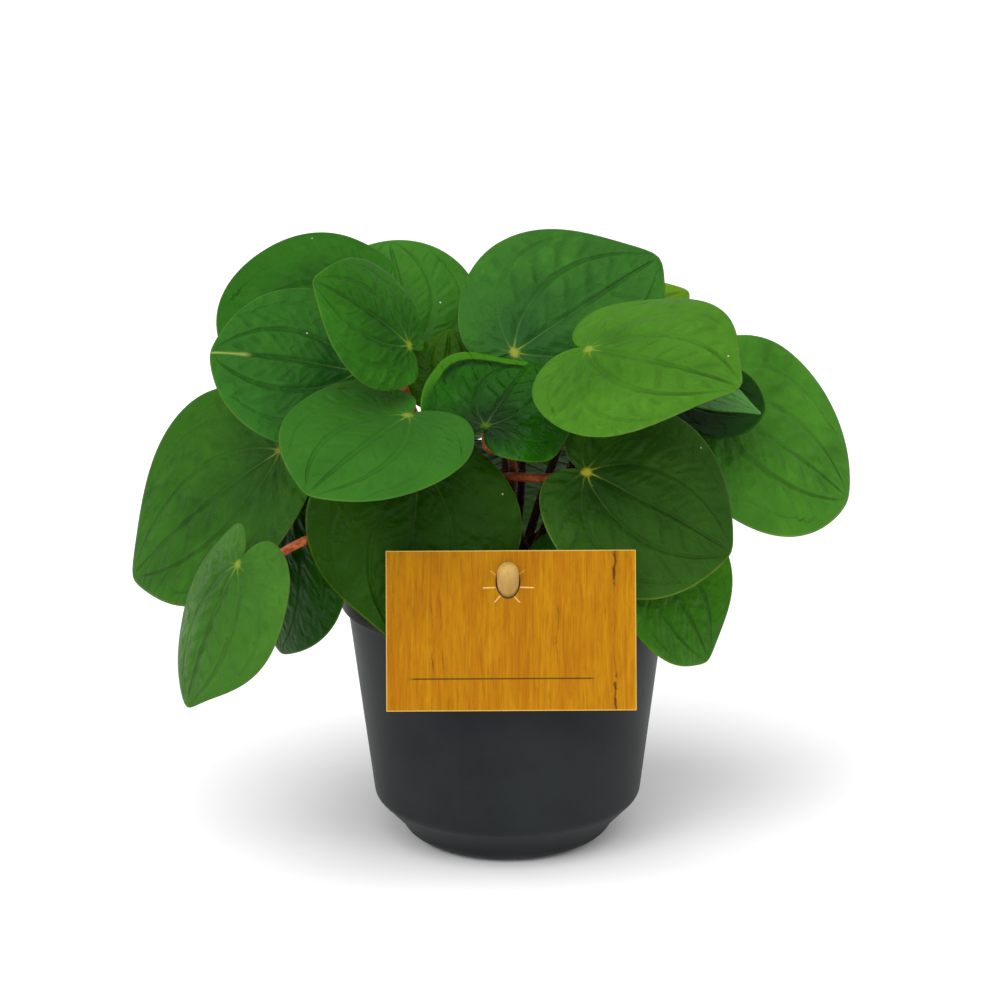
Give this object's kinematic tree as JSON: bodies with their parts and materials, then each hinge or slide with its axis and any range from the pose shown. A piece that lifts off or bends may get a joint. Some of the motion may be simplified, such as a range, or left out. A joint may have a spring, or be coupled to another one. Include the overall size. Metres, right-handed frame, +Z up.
{
  "type": "potted peperomia",
  "caption": "Pot plant with thick heart-shaped leaves on red stalks from a low crown, in a round nursery pot of peat with a picture label on a wooden stick.",
  "frame": {"origin": "centre of the pot's underside", "axes": "+Z up out of the pot, -Y towards the side with the label"},
  "size_m": [0.2638, 0.1818, 0.2191],
  "materials": {
    "pot_plastic": "satin",
    "peat": "matte",
    "stalk": "satin",
    "leaf": "satin",
    "label": "matte",
    "stick_wood": "matte"
  },
  "bodies": {
    "root": {"pot": "pot_plastic", "soil": "peat", "stalks": "stalk", "label_card": "label", "label_stick": "stick_wood", "leaf_top_left": "leaf", "leaf_top_back": "leaf", "leaf_top_centre": "leaf", "leaf_small": "leaf", "leaf_mid_left": "leaf", "leaf_front_left": "leaf", "leaf_front_right": "leaf", "leaf_left_large": "leaf", "leaf_left_pointed": "leaf", "leaf_left_under": "leaf", "leaf_low_left": "leaf", "leaf_low_right": "leaf", "leaf_right_large": "leaf", "leaf_right_cupped": "leaf", "leaf_right_small": "leaf", "leaf_right_under": "leaf", "leaf_curled": "leaf", "leaf_yellow": "leaf", "leaf_back_right": "leaf", "leaf_rear_top": "leaf", "leaf_rear_left": "leaf", "leaf_rear_right": "leaf", "leaf_rear_centre": "leaf", "leaf_rear_low_left": "leaf", "leaf_rear_low_right": "leaf", "leaf_rear_low": "leaf", "leaf_side_right": "leaf", "leaf_behind_label": "leaf"}
  },
  "joints": []
}
